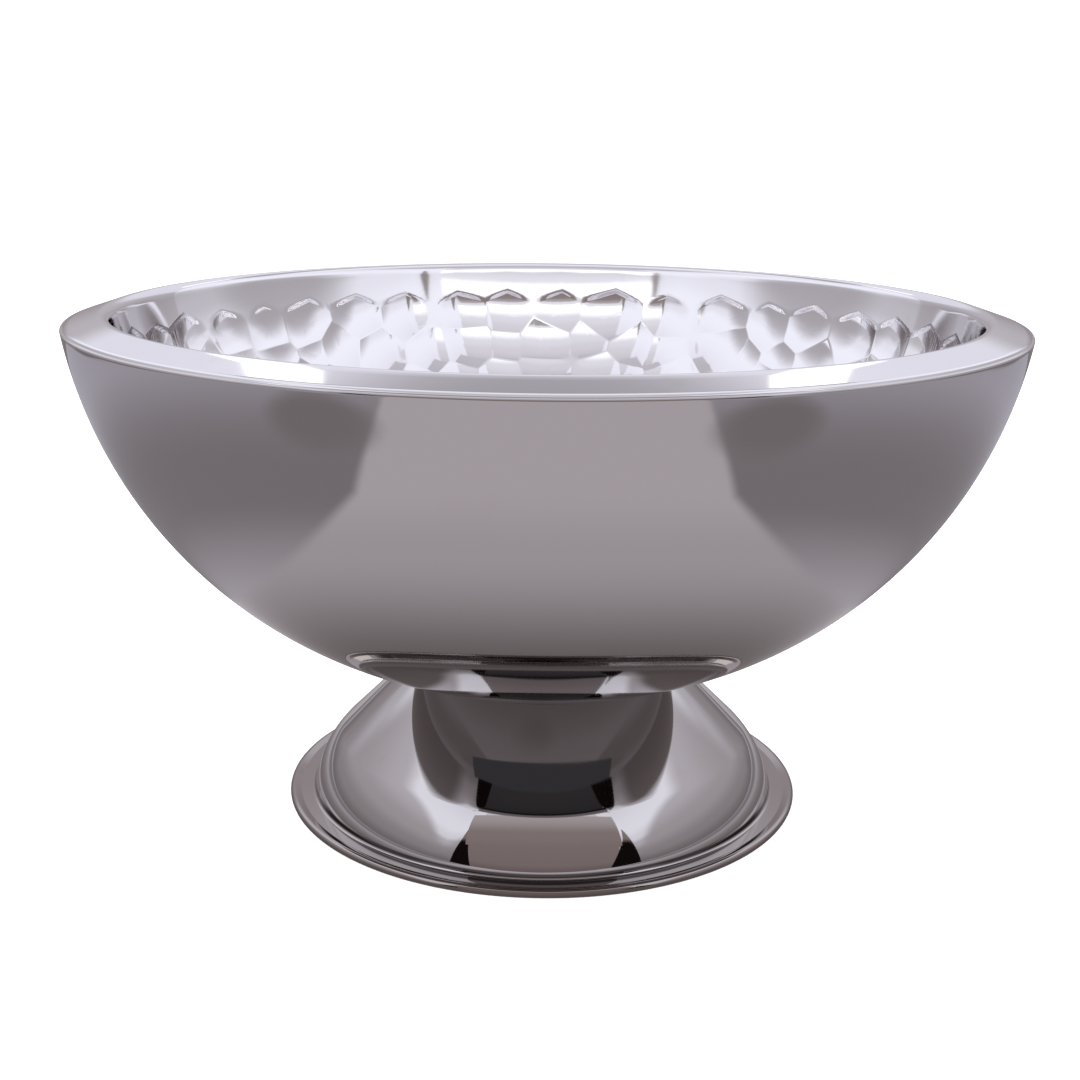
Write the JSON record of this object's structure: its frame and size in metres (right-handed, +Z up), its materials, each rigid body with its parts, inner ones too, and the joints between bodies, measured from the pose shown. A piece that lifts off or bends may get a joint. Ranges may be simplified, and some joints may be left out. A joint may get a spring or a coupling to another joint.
{
  "type": "punch bowl",
  "caption": "Double-walled polished steel punch bowl on a flared hollow foot, with a sloping rim and a hammered inner bowl.",
  "frame": {"origin": "on the table, under the middle of the foot", "axes": "+Z up along the axis of the bowl and foot; the bowl is round, so X and Y are any two level directions"},
  "size_m": [0.3678, 0.3678, 0.2018],
  "materials": {
    "polished_steel": "mirror polished stainless steel",
    "hammered_steel": "bright polished, hammered into shallow facets below the rim",
    "plain_steel": "unpolished, as rolled",
    "gasket": "matt black sheet"
  },
  "bodies": {
    "root": {"inner_liner": "hammered_steel", "outer_shell": "polished_steel", "rim_seam": "polished_steel", "stud_plate": "plain_steel", "foot_stud": "plain_steel", "joint_gasket": "gasket", "pedestal_foot": "polished_steel", "clamp_washer": "plain_steel", "spring_washer": "plain_steel", "dome_nut": "polished_steel"}
  },
  "joints": []
}
